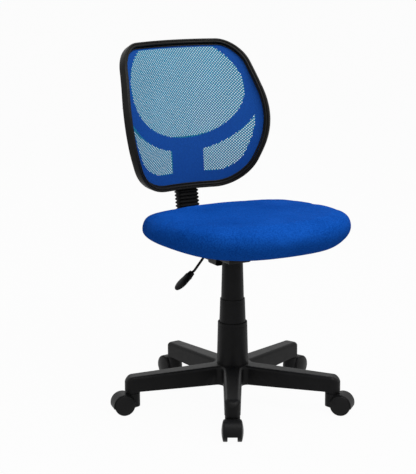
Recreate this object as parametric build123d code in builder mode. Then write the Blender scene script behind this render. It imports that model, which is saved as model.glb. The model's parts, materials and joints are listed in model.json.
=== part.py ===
# Swivel task chair: five-leg base on twin-wheel casters, gas lift in telescopic covers,
# upholstered seat, and a mesh back on a sprung-steel upright inside a ribbed boot.
# Millimetres, +Z up, floor at Z = 0, lift axis on Z, the sitter faces -Y.

import os
from math import cos, radians, sin, sqrt, tan

from build123d import *

# Fits
press_gap = 0.05          # radial room of a fixed seat
slide_gap = 0.06          # radial room of a running shaft
seat_gap = 0.3            # room between faces that only meet
run_gap = 0.7             # room between a wheel and its hood

# Base
leg_count = 5
first_leg_angle = -120.0
stem_circle = 250.5       # lift axis to caster stem
hub_bottom = 50.0
hub_height = 51.0
hub_flat_radius = 40.0
leg_root_radius = 23.0
leg_end_radius = 18.5
leg_end_bottom = 55.5
leg_end_height = 36.5
leg_edge_radius = 8.0
crotch_radius = 14.0
leg_wall = 3.5
leg_roof = 4.5
rib_thickness = 2.6
rib_bays = 6
sleeve_wall = 4.5

# Casters
wheel_radius = 24.5
wheel_width = 14.0
wheel_edge = 2.5
wheel_groove = 0.9
wheel_rim = 3.8
wheel_disc = 3.0
wheel_hub_radius = 6.5
wheel_inner_gap = 22.4    # between the two wheels of a caster
trail = 23.5              # stem axis to axle
axle_radius = 3.0
hood_wall = 1.6
hood_width = 43.0
hood_edge_radius = 4.0
hood_hem = 18.0           # height of the lower edge of the hood
neck_radius = 17.5
neck_rib = 3.0
neck_groove = 2.0
neck_groove_depth = 1.5
stem_radius = 5.5
stem_in_hood = 22.0
stem_in_leg = 30.0
grip_groove_depth = 1.0
grip_ring_height = 4.0
grip_ring_split = 2.0

# Gas lift
lift_down = 79.2
lift_up = 22.4
column_radius = 22.5
column_wall = 1.6
column_taper = 0.03       # change of diameter per length in the hub
column_foot = 8.0         # length below the hub
column_plate = 3.0
column_clear = 37.0       # column end to the seat at its lowest
bush_length = 86.0
bush_flange = 3.0
cylinder_radius = 14.0
cylinder_wall = 2.2
cylinder_end = 6.0
cylinder_taper = 0.05
cylinder_over = 1.0       # cylinder end above its socket
rod_radius = 5.0
rod_neck_radius = 4.0
rod_tail = 5.0            # rod end below the column
clip_groove_depth = 1.0
piston_height = 8.0
race_radius = 15.0
race_height = 2.0
ball_radius = 2.5
ball_circle = 10.5
ball_count = 10
bump_radius = 12.5
bump_height = 10.0
clip_radius = 7.5
clip_height = 1.4
clip_mouth = 5.0
button_radius = 4.0
button_height = 5.0
button_depth = 10.0
button_travel = 3.6

# Telescopic covers
cover_wall = 1.5
cover_band = 8.0           # rim band above a turned groove
cover_groove = 1.2
cover_groove_depth = 0.5
cover_flange = 2.0
cover_foot_radius = 38.0
cover_lower_length = 103.5
cover_lower_draft = 0.0242
cover_middle_show = 57.5
cover_middle_overlap = 54.5
cover_middle_radius = 29.8
cover_middle_draft = 0.0356
cover_upper_show = 91.7
cover_upper_overlap = 72.0
cover_upper_radius = 25.0
cover_upper_draft = 0.0272

# Seat support
housing_half_width = 30.0
housing_depth = 63.5
housing_front = 36.0
housing_step = 27.0       # lift axis to the start of the deeper rear box
housing_rear = 66.0
housing_rear_drop = 16.0
housing_wall = 2.5
housing_edge_radius = 6.0
socket_wall = 4.0
socket_length = 38.0
plate_thickness = 2.5
plate_width = 190.0
plate_depth = 130.0
plate_corner_radius = 16.0
plate_lip = 8.0
bolt_span_x = 160.0
bolt_span_y = 100.0
bolt_radius = 3.0
bolt_head_radius = 5.8
bolt_head_height = 4.0
tee_flange_radius = 9.5
tee_flange_height = 1.5
tee_barrel_radius = 4.2
tee_barrel_height = 8.0

# Release lever
lever_radius = 3.0
lever_bend_x = 53.4       # lift axis to the bend
lever_drop_angle = 49.0
lever_drop_length = 77.0
lever_bend_radius = 12.0
lever_in_paddle = 20.0
lever_over = 6.0          # rod end past the button
lever_pin_radius = 2.0
lever_eye_radius = 5.0
lever_pin_x = 22.0
lever_pin_length = 22.0
paddle_angle = 33.0
paddle_length = 60.0
paddle_width = 24.0
paddle_thickness = 8.0
paddle_collar_radius = 6.5
paddle_collar_length = 16.0
paddle_grip_length = 22.0
paddle_edge_radius = 2.6
paddle_tip_radius = 9.6

# Seat
seat_half_width = 242.0
seat_half_depth = 210.0
seat_centre_y = -65.0
seat_side_arc = 420.0
seat_front_arc = 480.0
seat_corner_arc = 150.0
board_thickness = 10.0
board_inset = 54.0
cushion_hem_inset = 46.0
cushion_hem_height = 0.6
cushion_widest = 36.0     # above the board's underside
cushion_height = 62.5
cushion_crown_inset = 80.0
cushion_side_turns = (0, 25, 48, 69)
cushion_crown_turns = (0, 20, 38, 54, 68, 80, 90)
cushion_waterfall = 30.0  # extra set-back of the crown at the front
dust_cover_thickness = 0.8
dust_cover_inset = 62.0

# Back upright and boot
bar_width = 38.0
bar_thickness = 5.5
bar_lean = 10.2
bar_bend_radius = 45.0
bar_set_back = 7.0        # behind the middle of the lower rail
bar_in_back = 98.0        # length above the lower edge of the back
bar_bolt_span = 22.0
boot_width = 52.0
boot_depth = 30.0
boot_corner_radius = 9.0
boot_rib_depth = 3.6
boot_rib_pitch = 8.8
boot_rib_count = 9
boot_wall = 2.2
boot_crest_start = 0.3    # shares of one rib pitch
boot_crest_end = 0.6
boot_root_start = 0.9

# Back
back_rise = 72.8          # board's underside to the lower edge of the back
back_y = 199.3
back_lean = 8.2
back_wrap_radius = 301.0
lumbar_radius = 384.6
lumbar_height = 142.0
back_height = 361.1
back_widest_height = 165.8
back_top_half = 167.5
back_widest_half = 214.5
back_bottom_half = 144.1
back_top_corner = 67.7
back_side_corner = 268.5
back_bottom_corner = 110.8
rail_face = 12.0
rail_depth = 19.0
rail_edge_radius = 3.0
back_levels = 8
slab_over = 0.1           # share of the height that a slab passes the back by
mesh_thickness = 1.2
mesh_sag = 20.0
cord_size = 3.0
arm_face = 27.0
arm_end_face = 18.0
arm_thickness = 7.0
arm_edge_radius = 2.0
arm_behind_mesh = 9.0
arm_end_behind = 6.0
arm_height = 112.0
arm_sections = 9
arm_reach = 189.0
arm_end_rise = 113.0
arm_early_rise = 0.55     # share of the rise that is a plain curve
arm_probe = 0.5
stem_width = 62.0
stem_depth = 15.0
stem_edge_radius = 3.0
stem_length = 122.0
stem_mouth = 3.0

# Levels that follow from the sizes above
hub_top = hub_bottom + hub_height
leg_end_top = leg_end_bottom + leg_end_height
leg_reach = stem_circle + leg_end_radius
lower_rim = hub_top + cover_lower_length
middle_rim = lower_rim + cover_middle_show
cover_top = middle_rim + cover_upper_show
housing_floor = cover_top + seat_gap
plate_bottom = housing_floor + housing_depth
board_bottom = plate_bottom + plate_thickness
back_bottom = board_bottom + back_rise
socket_top = housing_floor + socket_length
cylinder_top = socket_top + cylinder_over
button_top = cylinder_top + button_height
lever_z = button_top + seat_gap + lever_radius
leg_angles = [first_leg_angle + 360 / leg_count * n for n in range(leg_count)]

os.makedirs("parts", exist_ok=True)


def save(piece, name):
    piece.part.label = name
    export_step(piece.part, f"parts/{name}.step")


def save_turned(piece, name, angle):
    with BuildPart() as turned:
        add(piece.part, rotation=(0, 0, angle))
    save(turned, name)


# Five-leg base: one star-shaped plan under a conical roof, hollow below with a truss of ribs
with BuildSketch() as leg_plan:
    Circle(leg_root_radius)
    with Locations((stem_circle, 0)):
        Circle(leg_end_radius)
    make_hull()


def leg_half_width(radius):
    share = radius / stem_circle
    return leg_root_radius + (leg_end_radius - leg_root_radius) * share


def roof_height(radius):
    share = (radius - hub_flat_radius) / (leg_reach - hub_flat_radius)
    return hub_top + (leg_end_top - hub_top) * max(share, 0)


profile_reach = leg_reach + leg_end_radius
pad_start = stem_circle - leg_end_radius - leg_wall
sleeve_radius = column_radius + sleeve_wall
truss_start = hub_flat_radius + leg_wall
truss_end = stem_circle - leg_end_radius
truss_step = (truss_end - truss_start) / rib_bays

pockets = []
for bay in range(rib_bays - 1):
    side = 1 if bay % 2 else -1
    radii = [truss_start + truss_step * (bay + n) for n in range(3)]
    corners = [
        (radius, side * (-1) ** n * (leg_half_width(radius) - leg_wall + rib_thickness / 2))
        for n, radius in enumerate(radii)
    ]
    with BuildSketch() as pocket:
        with BuildLine():
            Polyline(*corners, close=True)
        make_face()
        offset(amount=-rib_thickness / 2, kind=Kind.INTERSECTION)
    pockets.append((pocket, roof_height(radii[-1]) - leg_roof - hub_bottom))

with BuildPart() as base_star:
    with BuildSketch(Plane.XY.offset(hub_bottom)) as star_plan:
        for angle in leg_angles:
            add(leg_plan.sketch, rotation=angle)
        fillet(star_plan.vertices().sort_by_distance((0, 0, 0))[:leg_count], radius=crotch_radius)
    extrude(amount=hub_height)
    with BuildSketch(Plane.XZ):
        with BuildLine():
            Polyline(
                (0, hub_bottom),
                (hub_flat_radius, hub_bottom),
                (pad_start, leg_end_bottom),
                (profile_reach, leg_end_bottom),
                (profile_reach, roof_height(profile_reach)),
                (hub_flat_radius, hub_top),
                (0, hub_top),
                close=True,
            )
        make_face()
    revolve(axis=Axis.Z, mode=Mode.INTERSECT)
    roof = base_star.faces().filter_by(GeomType.CONE).sort_by(Axis.Z)[-1]
    fillet(roof.edges().filter_by(lambda edge: edge.center().Z < hub_top - seat_gap), leg_edge_radius)
    for pocket, depth in pockets:
        with BuildSketch(Plane.XY.offset(hub_bottom)):
            for angle in leg_angles:
                add(pocket.sketch, rotation=angle)
        extrude(amount=depth, mode=Mode.SUBTRACT)
    with BuildSketch(Plane.XY.offset(hub_bottom)):
        Circle(sleeve_radius + press_gap)
    extrude(amount=hub_height, mode=Mode.SUBTRACT)
    with BuildSketch(Plane.XY.offset(hub_bottom)):
        with PolarLocations(stem_circle, leg_count, start_angle=first_leg_angle):
            Circle(stem_radius + slide_gap)
    extrude(amount=leg_end_bottom - hub_bottom + stem_in_leg + seat_gap, mode=Mode.SUBTRACT)
save(base_star, "base_star")


# Steel sleeve moulded into the hub, with the tapered seat of the column
def column_radius_at(height):
    return column_radius - column_taper / 2 * max(hub_top - height, 0)


def turned(*points):
    with BuildPart() as piece:
        with BuildSketch(Plane.XZ):
            with BuildLine():
                Polyline(*points, close=True)
            make_face()
        revolve(axis=Axis.Z)
    return piece


hub_sleeve = turned(
    (column_radius_at(hub_bottom) + press_gap, hub_bottom),
    (sleeve_radius, hub_bottom),
    (sleeve_radius, hub_top),
    (column_radius + press_gap, hub_top),
)
save(hub_sleeve, "hub_sleeve")

# Casters, drawn once on +X under the end of a leg
axle_x = stem_circle + trail
wheel_inner = wheel_inner_gap / 2
wheel_outer = wheel_inner + wheel_width
hood_radius = wheel_radius + run_gap + hood_wall
neck_top = leg_end_bottom - seat_gap
groove_top = neck_top - neck_rib
stem_top = leg_end_bottom + stem_in_leg
grip_top = stem_top - grip_ring_height
grip_bottom = grip_top - grip_ring_height
stem_axis = Axis((stem_circle, 0, 0), (0, 0, 1))
axle_axis = Axis((axle_x, 0, wheel_radius), (0, 1, 0))
axle_plane = Plane(origin=(axle_x, 0, wheel_radius), x_dir=(1, 0, 0), z_dir=(0, 0, 1))

with BuildPart() as caster_hood:
    with BuildSketch(Plane.XZ):
        with Locations((axle_x, wheel_radius)):
            Circle(hood_radius)
        with Locations((axle_x, hood_hem)):
            Rectangle(4 * hood_radius, 4 * hood_radius, align=(Align.CENTER, Align.MAX), mode=Mode.SUBTRACT)
    extrude(amount=hood_width / 2, both=True)
    fillet(caster_hood.edges().filter_by(GeomType.CIRCLE), hood_edge_radius)
    with BuildSketch(Plane.XZ):
        with BuildLine():
            Polyline(
                (stem_circle, hood_hem),
                (stem_circle + neck_radius, hood_hem),
                (stem_circle + neck_radius, groove_top - neck_groove),
                (stem_circle + neck_radius - neck_groove_depth, groove_top - neck_groove),
                (stem_circle + neck_radius - neck_groove_depth, groove_top),
                (stem_circle + neck_radius, groove_top),
                (stem_circle + neck_radius, neck_top),
                (stem_circle, neck_top),
                close=True,
            )
        make_face()
    revolve(axis=stem_axis)
    for side in (1, -1):
        with BuildSketch(Plane.XZ.offset(side * (wheel_inner - seat_gap))):
            with Locations((axle_x, wheel_radius)):
                Circle(wheel_radius + run_gap)
        extrude(amount=side * hood_width, mode=Mode.SUBTRACT)
    with BuildSketch(Plane.XZ):
        with Locations((axle_x, wheel_radius)):
            Circle(axle_radius + press_gap)
    extrude(amount=hood_width, both=True, mode=Mode.SUBTRACT)
    with BuildSketch(Plane.XY.offset(neck_top)):
        with Locations((stem_circle, 0)):
            Circle(stem_radius + press_gap)
    extrude(amount=-stem_in_hood, mode=Mode.SUBTRACT)

with BuildPart() as caster_stem:
    with BuildSketch(Plane.XZ):
        with BuildLine():
            Polyline(
                (stem_circle, neck_top - stem_in_hood),
                (stem_circle + stem_radius, neck_top - stem_in_hood),
                (stem_circle + stem_radius, grip_bottom),
                (stem_circle + stem_radius - grip_groove_depth, grip_bottom),
                (stem_circle + stem_radius - grip_groove_depth, grip_top),
                (stem_circle + stem_radius, grip_top),
                (stem_circle + stem_radius - grip_groove_depth, stem_top),
                (stem_circle, stem_top),
                close=True,
            )
        make_face()
    revolve(axis=stem_axis)

axle_half = wheel_outer - wheel_disc
with BuildPart() as caster_axle:
    with BuildSketch(Plane.XZ):
        with Locations((axle_x, wheel_radius)):
            Circle(axle_radius)
    extrude(amount=axle_half, both=True)

disc_inner = wheel_outer - wheel_disc
with BuildPart() as wheel_left:
    with BuildSketch(axle_plane):
        with BuildLine():
            Polyline(
                (0, wheel_outer),
                (0, axle_half + seat_gap),
                (axle_radius + slide_gap, axle_half + seat_gap),
                (axle_radius + slide_gap, wheel_inner),
                (wheel_hub_radius, wheel_inner),
                (wheel_hub_radius, disc_inner),
                (wheel_radius - wheel_rim, disc_inner),
                (wheel_radius - wheel_rim, wheel_inner),
                (wheel_radius - wheel_edge / 2, wheel_inner),
                (wheel_radius, wheel_inner + wheel_edge / 2),
                (wheel_radius, wheel_outer - wheel_edge),
                (wheel_radius - wheel_edge, wheel_outer),
                (wheel_radius - 2 * wheel_edge, wheel_outer),
                (wheel_radius - 2 * wheel_edge - wheel_groove, wheel_outer - wheel_groove),
                (wheel_radius - 2 * wheel_edge - 2 * wheel_groove, wheel_outer),
                close=True,
            )
        make_face()
    revolve(axis=axle_axis)

with BuildPart() as wheel_right:
    add(wheel_left.part)
    mirror(about=Plane.XZ, mode=Mode.REPLACE)

for number, angle in enumerate(leg_angles, start=1):
    save_turned(caster_hood, f"caster_hood_{number}", angle)
    save_turned(caster_stem, f"caster_stem_{number}", angle)
    save_turned(caster_axle, f"caster_axle_{number}", angle)
    save_turned(wheel_left, f"caster_wheel_{number}_left", angle)
    save_turned(wheel_right, f"caster_wheel_{number}_right", angle)

with BuildPart() as grip_rings:
    with BuildSketch(Plane.XY.offset(grip_bottom + seat_gap)) as ring_plan:
        with PolarLocations(stem_circle, leg_count, start_angle=first_leg_angle):
            Circle(stem_radius)
            Circle(stem_radius - grip_groove_depth + slide_gap, mode=Mode.SUBTRACT)
        with PolarLocations(stem_circle + stem_radius, leg_count, start_angle=first_leg_angle):
            Rectangle(2 * stem_radius, grip_ring_split, mode=Mode.SUBTRACT)
    extrude(amount=grip_ring_height - 2 * seat_gap)
save(grip_rings, "grip_rings")

# Gas lift: column with its guide bush, thrust bearing, rod and cylinder
column_bottom = hub_bottom - column_foot
column_top = housing_floor - lift_down - column_clear
race_floor = column_bottom + column_plate
ball_centre = race_floor + race_height + ball_radius + press_gap
upper_race_floor = ball_centre + ball_radius + press_gap
shoulder = upper_race_floor + race_height
bump_top = shoulder + bump_height
cylinder_bottom = bump_top + lift_down + seat_gap
cylinder_bore = cylinder_radius - cylinder_wall
piston_bottom = cylinder_bottom + cylinder_end + lift_up + 2 * seat_gap
clip_top = column_bottom - seat_gap

column_tube = turned(
    (rod_neck_radius + slide_gap, column_bottom),
    (column_radius_at(column_bottom), column_bottom),
    (column_radius, hub_top),
    (column_radius, column_top),
    (column_radius - column_wall, column_top),
    (column_radius - column_wall, hub_top),
    (column_radius_at(race_floor) - column_wall, race_floor),
    (rod_neck_radius + slide_gap, race_floor),
)
save(column_tube, "column_tube")

guide_bush = turned(
    (cylinder_radius + slide_gap, column_top - bush_length),
    (column_radius - column_wall - press_gap, column_top - bush_length),
    (column_radius - column_wall - press_gap, column_top),
    (column_radius, column_top),
    (column_radius, column_top + bush_flange),
    (cylinder_radius + slide_gap, column_top + bush_flange),
)
save(guide_bush, "guide_bush")


def washer(floor, height, outer, inner):
    with BuildPart() as ring:
        with BuildSketch(Plane.XY.offset(floor)):
            Circle(outer)
            Circle(inner, mode=Mode.SUBTRACT)
        extrude(amount=height)
    return ring


save(washer(race_floor, race_height, race_radius, rod_neck_radius + slide_gap), "bearing_race_lower")
save(washer(upper_race_floor, race_height, race_radius, rod_neck_radius + press_gap), "bearing_race_upper")
save(washer(shoulder, bump_height, bump_radius, rod_radius + press_gap), "bump_stop")

with BuildPart() as bearing_balls:
    with PolarLocations(ball_circle, ball_count):
        with Locations((0, 0, ball_centre)):
            Sphere(ball_radius)
save(bearing_balls, "bearing_balls")

piston_rod = turned(
    (0, column_bottom - rod_tail),
    (rod_neck_radius, column_bottom - rod_tail),
    (rod_neck_radius, clip_top - clip_height),
    (rod_neck_radius - clip_groove_depth, clip_top - clip_height),
    (rod_neck_radius - clip_groove_depth, clip_top),
    (rod_neck_radius, clip_top),
    (rod_neck_radius, shoulder),
    (rod_radius, shoulder),
    (rod_radius, piston_bottom),
    (cylinder_bore - slide_gap, piston_bottom),
    (cylinder_bore - slide_gap, piston_bottom + piston_height),
    (0, piston_bottom + piston_height),
)
save(piston_rod, "piston_rod")

with BuildPart() as rod_clip:
    with BuildSketch(Plane.XY.offset(clip_top - clip_height)):
        Circle(clip_radius)
        Circle(rod_neck_radius - clip_groove_depth + press_gap, mode=Mode.SUBTRACT)
        with Locations((clip_radius, 0)):
            Rectangle(2 * clip_radius, clip_mouth, mode=Mode.SUBTRACT)
    extrude(amount=clip_height)
save(rod_clip, "rod_clip")


def cylinder_radius_at(height):
    return cylinder_radius - cylinder_taper / 2 * max(height - housing_floor, 0)


valve_floor = cylinder_top - button_depth
gas_cylinder = turned(
    (rod_radius + slide_gap, cylinder_bottom),
    (cylinder_radius, cylinder_bottom),
    (cylinder_radius, housing_floor),
    (cylinder_radius_at(cylinder_top), cylinder_top),
    (button_radius + slide_gap, cylinder_top),
    (button_radius + slide_gap, valve_floor),
    (0, valve_floor),
    (0, valve_floor - cylinder_end),
    (cylinder_bore, valve_floor - cylinder_end),
    (cylinder_bore, cylinder_bottom + cylinder_end),
    (rod_radius + slide_gap, cylinder_bottom + cylinder_end),
)
save(gas_cylinder, "gas_cylinder")

with BuildPart() as release_button:
    with BuildSketch(Plane.XY.offset(valve_floor + button_travel + seat_gap)):
        Circle(button_radius)
    extrude(amount=button_top - valve_floor - button_travel - seat_gap)
save(release_button, "release_button")


# Telescopic covers: drafted tubes, each with a turned groove under its rim band
def cover_profile(bottom, rim, rim_radius, draft):
    def outer(height):
        return rim_radius + draft * (rim - height)

    groove_high = rim - cover_band
    groove_low = groove_high - cover_groove
    return [
        (outer(bottom) - cover_wall, bottom),
        (outer(bottom), bottom),
        (outer(groove_low), groove_low),
        (outer(groove_low) - cover_groove_depth, groove_low),
        (outer(groove_high) - cover_groove_depth, groove_high),
        (outer(groove_high), groove_high),
        (rim_radius, rim),
    ]


lower_rim_radius = cover_foot_radius - cover_lower_draft * cover_lower_length
cover_lower = turned(
    *cover_profile(hub_top, lower_rim, lower_rim_radius, cover_lower_draft),
    (lower_rim_radius - cover_wall, lower_rim),
)
save(cover_lower, "cover_lower")

cover_middle = turned(
    *cover_profile(lower_rim - cover_middle_overlap, middle_rim, cover_middle_radius, cover_middle_draft),
    (cover_middle_radius - cover_wall, middle_rim),
)
save(cover_middle, "cover_middle")

cover_upper = turned(
    *cover_profile(middle_rim - cover_upper_overlap, cover_top, cover_upper_radius, cover_upper_draft),
    (cylinder_radius + seat_gap, cover_top),
    (cylinder_radius + seat_gap, cover_top - cover_flange),
    (cover_upper_radius - cover_wall, cover_top - cover_flange),
)
save(cover_upper, "cover_upper")


# Seat support: a folded housing, deeper behind the lift axis, with the tapered socket welded in
rear_floor = housing_floor - housing_rear_drop
bar_middle = rear_floor + housing_wall + bar_thickness / 2
bar_bolt_y = (housing_step + housing_rear) / 2

with BuildPart() as seat_housing:
    with BuildSketch(Plane.YZ):
        with BuildLine():
            Polyline(
                (-housing_front, plate_bottom),
                (-housing_front, housing_floor),
                (housing_step, housing_floor),
                (housing_step + housing_wall, rear_floor),
                (housing_rear, rear_floor),
                (housing_rear, plate_bottom),
                close=True,
            )
        make_face()
    extrude(amount=housing_half_width, both=True)
    bottom_edges = seat_housing.edges().filter_by(lambda edge: edge.center().Z < plate_bottom - housing_wall)
    long_edges = bottom_edges.filter_by(Axis.Y)
    cross_edges = bottom_edges.filter_by(Axis.X).group_by(Axis.Y)
    fillet(long_edges + cross_edges[0] + cross_edges[-1], housing_edge_radius)
    with BuildSketch(Plane.YZ):
        with BuildLine():
            Polyline(
                (housing_wall - housing_front, plate_bottom),
                (housing_wall - housing_front, housing_floor + housing_wall),
                (housing_step + housing_wall, housing_floor + housing_wall),
                (housing_step + 2 * housing_wall, rear_floor + housing_wall),
                (housing_rear - housing_wall, rear_floor + housing_wall),
                (housing_rear - housing_wall, plate_bottom),
                close=True,
            )
        make_face()
    extrude(amount=housing_half_width - housing_wall, both=True, mode=Mode.SUBTRACT)
    with BuildSketch(Plane.XY.offset(housing_floor)):
        Circle(cylinder_radius + socket_wall + press_gap)
    extrude(amount=housing_wall, mode=Mode.SUBTRACT)
    with BuildSketch(Plane.YZ.offset(-housing_half_width)):
        with Locations((0, lever_z)):
            SlotCenterToCenter(2 * lever_radius, 2 * lever_radius + 4 * seat_gap, rotation=90)
    extrude(amount=2 * housing_wall, both=True, mode=Mode.SUBTRACT)
    with BuildSketch(Plane.XZ.offset(-housing_rear)):
        with Locations((0, bar_middle)):
            Rectangle(bar_width + 2 * seat_gap, bar_thickness + 2 * seat_gap)
    extrude(amount=2 * housing_wall, both=True, mode=Mode.SUBTRACT)
    with BuildSketch(Plane.XY.offset(rear_floor)):
        with Locations((0, bar_bolt_y)):
            with GridLocations(bar_bolt_span, 0, 2, 1):
                Circle(bolt_radius + press_gap)
    extrude(amount=2 * housing_wall, mode=Mode.SUBTRACT)
save(seat_housing, "seat_housing")

taper_socket = turned(
    (cylinder_radius + press_gap, housing_floor),
    (cylinder_radius + socket_wall, housing_floor),
    (cylinder_radius + socket_wall, socket_top),
    (cylinder_radius_at(socket_top) + press_gap, socket_top),
)
save(taper_socket, "taper_socket")

hanger_width = 2 * lever_eye_radius
hanger_inner = lever_eye_radius + 2 * seat_gap
with BuildPart() as seat_plate:
    with BuildSketch(Plane.XY.offset(plate_bottom)):
        RectangleRounded(plate_width, plate_depth, plate_corner_radius)
        with GridLocations(bolt_span_x, bolt_span_y, 2, 2):
            Circle(bolt_radius + slide_gap, mode=Mode.SUBTRACT)
    extrude(amount=plate_thickness)
    with BuildSketch(Plane.XY.offset(plate_bottom - plate_lip)):
        for side in (1, -1):
            with Locations((side * (plate_width - plate_thickness) / 2, 0)):
                Rectangle(plate_thickness, plate_depth - 2 * plate_corner_radius)
    extrude(amount=plate_lip)
    with BuildSketch(Plane.XY.offset(lever_z - lever_eye_radius)):
        for side in (1, -1):
            with Locations((-lever_pin_x, side * (hanger_inner + plate_thickness / 2))):
                Rectangle(hanger_width, plate_thickness)
    extrude(amount=plate_bottom - lever_z + lever_eye_radius)
    with BuildSketch(Plane.XZ):
        with Locations((-lever_pin_x, lever_z)):
            Circle(lever_pin_radius + press_gap)
    extrude(amount=housing_half_width, both=True, mode=Mode.SUBTRACT)
save(seat_plate, "seat_plate")

with BuildPart() as lever_pin:
    with BuildSketch(Plane.XZ):
        with Locations((-lever_pin_x, lever_z)):
            Circle(lever_pin_radius)
    extrude(amount=lever_pin_length / 2, both=True)
save(lever_pin, "lever_pin")

# Release lever: a bent rod that rocks on its pin above the button, with a moulded paddle
drop = radians(lever_drop_angle)
dip = radians(paddle_angle)
bend_end = Vector(
    -lever_bend_x - lever_drop_length * cos(drop),
    0,
    lever_z - lever_drop_length * sin(drop),
)
paddle_way = Vector(-cos(dip), 0, -sin(dip))
paddle_start = bend_end + paddle_way * lever_bend_radius / 2

with BuildPart() as lever_rod:
    with BuildLine():
        FilletPolyline(
            (lever_over, 0, lever_z),
            (-lever_bend_x, 0, lever_z),
            bend_end,
            paddle_start + paddle_way * lever_in_paddle,
            radius=lever_bend_radius,
        )
    with BuildSketch(Plane.YZ.offset(lever_over)):
        with Locations((0, lever_z)):
            Circle(lever_radius)
    sweep()
    with BuildSketch(Plane.XZ):
        with Locations((-lever_pin_x, lever_z)):
            Circle(lever_eye_radius)
    extrude(amount=lever_eye_radius, both=True)
    with BuildSketch(Plane.XZ):
        with Locations((-lever_pin_x, lever_z)):
            Circle(lever_pin_radius + slide_gap)
    extrude(amount=lever_eye_radius, both=True, mode=Mode.SUBTRACT)
save(lever_rod, "lever_rod")

paddle_plane = Plane(origin=paddle_start, x_dir=paddle_way, z_dir=(-sin(dip), 0, cos(dip)))
paddle_front = Plane(origin=paddle_start, x_dir=(0, 1, 0), z_dir=paddle_way)
grip_half = paddle_width / 2
with BuildPart() as lever_paddle:
    with BuildSketch(paddle_plane):
        with BuildLine():
            Polyline(
                (0, -paddle_collar_radius),
                (paddle_collar_length, -paddle_collar_radius),
                (paddle_collar_length + 2 * paddle_edge_radius, -grip_half),
                (paddle_collar_length + paddle_grip_length, -grip_half),
                (paddle_length - paddle_tip_radius, -paddle_tip_radius),
            )
            ThreePointArc(
                (paddle_length - paddle_tip_radius, -paddle_tip_radius),
                (paddle_length, 0),
                (paddle_length - paddle_tip_radius, paddle_tip_radius),
            )
            Polyline(
                (paddle_length - paddle_tip_radius, paddle_tip_radius),
                (paddle_collar_length + paddle_grip_length, grip_half),
                (paddle_collar_length + 2 * paddle_edge_radius, grip_half),
                (paddle_collar_length, paddle_collar_radius),
                (0, paddle_collar_radius),
                (0, -paddle_collar_radius),
            )
        make_face()
    extrude(amount=paddle_thickness / 2, both=True)
    broad_faces = lever_paddle.faces().filter_by(paddle_plane).sort_by_distance(paddle_start)[:2]
    fillet(broad_faces.edges(), paddle_edge_radius)
    with BuildSketch(paddle_front):
        Circle(lever_radius + press_gap)
    extrude(amount=lever_in_paddle + seat_gap, mode=Mode.SUBTRACT)
save(lever_paddle, "lever_paddle")


# Seat: plywood board, cushion with drawn-in sides and a waterfall front, and cloth dust cover
def seat_outline(height, inset, front_inset=0):
    half_width = seat_half_width - inset
    half_depth = seat_half_depth - inset - front_inset / 2
    side_arc = seat_side_arc - inset
    front_arc = seat_front_arc - inset
    corner_arc = seat_corner_arc - inset
    side_centre = Vector(half_width - side_arc, 0)
    front_centre = Vector(0, half_depth - front_arc)
    span = front_centre - side_centre
    reach = side_arc - corner_arc
    other = front_arc - corner_arc
    along = (span.length**2 + reach**2 - other**2) / (2 * span.length)
    off = sqrt(reach**2 - along**2)
    unit = span.normalized()
    corner = side_centre + unit * along + Vector(-unit.Y, unit.X) * off
    side_way = (corner - side_centre).normalized()
    front_way = (corner - front_centre).normalized()
    side_end = side_centre + side_way * side_arc
    front_end = front_centre + front_way * front_arc
    corner_middle = corner + (side_way + front_way).normalized() * corner_arc
    plane = Plane(origin=(0, seat_centre_y + front_inset / 2, height))
    with BuildSketch(plane) as outline:
        with BuildLine():
            for flip_x, flip_y in ((1, 1), (-1, 1), (-1, -1), (1, -1)):
                ThreePointArc(*[(flip_x * p.X, flip_y * p.Y) for p in (side_end, corner_middle, front_end)])
            for flip in (1, -1):
                ThreePointArc(
                    (flip * side_end.X, -side_end.Y), (flip * half_width, 0), (flip * side_end.X, side_end.Y)
                )
                ThreePointArc(
                    (-front_end.X, flip * front_end.Y), (0, flip * half_depth), (front_end.X, flip * front_end.Y)
                )
        make_face()
    return outline


board_top = board_bottom + board_thickness
tee_floor = board_top - tee_flange_height

with BuildPart() as seat_board:
    add(seat_outline(board_bottom, board_inset).sketch)
    extrude(amount=board_thickness)
    with Locations((0, 0, board_top)):
        with GridLocations(bolt_span_x, bolt_span_y, 2, 2):
            CounterBoreHole(
                tee_barrel_radius + press_gap,
                tee_flange_radius + press_gap,
                tee_flange_height,
                board_thickness,
            )
save(seat_board, "seat_board")

with BuildPart() as seat_cushion:
    for turn in cushion_side_turns:
        rise = 1 - cos(radians(turn))
        height = board_bottom + cushion_hem_height + (cushion_widest - cushion_hem_height) * rise
        add(seat_outline(height, cushion_hem_inset * (1 - sin(radians(turn)))).sketch)
    for turn in cushion_crown_turns:
        height = board_bottom + cushion_widest + (cushion_height - cushion_widest) * sin(radians(turn))
        draw = 1 - cos(radians(turn))
        add(seat_outline(height, cushion_crown_inset * draw, cushion_waterfall * draw).sketch)
    loft(ruled=True)
    add(seat_outline(board_bottom, board_inset - seat_gap).sketch)
    extrude(amount=board_thickness + seat_gap, mode=Mode.SUBTRACT)
save(seat_cushion, "seat_cushion")

with BuildPart() as dust_cover:
    add(seat_outline(board_bottom - dust_cover_thickness, dust_cover_inset).sketch)
    extrude(amount=dust_cover_thickness)
    with BuildSketch(Plane.XY.offset(board_bottom - dust_cover_thickness)):
        RectangleRounded(
            plate_width + 2 * plate_thickness, plate_depth + 2 * plate_thickness, plate_corner_radius
        )
    extrude(amount=dust_cover_thickness, mode=Mode.SUBTRACT)
save(dust_cover, "dust_cover")

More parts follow.
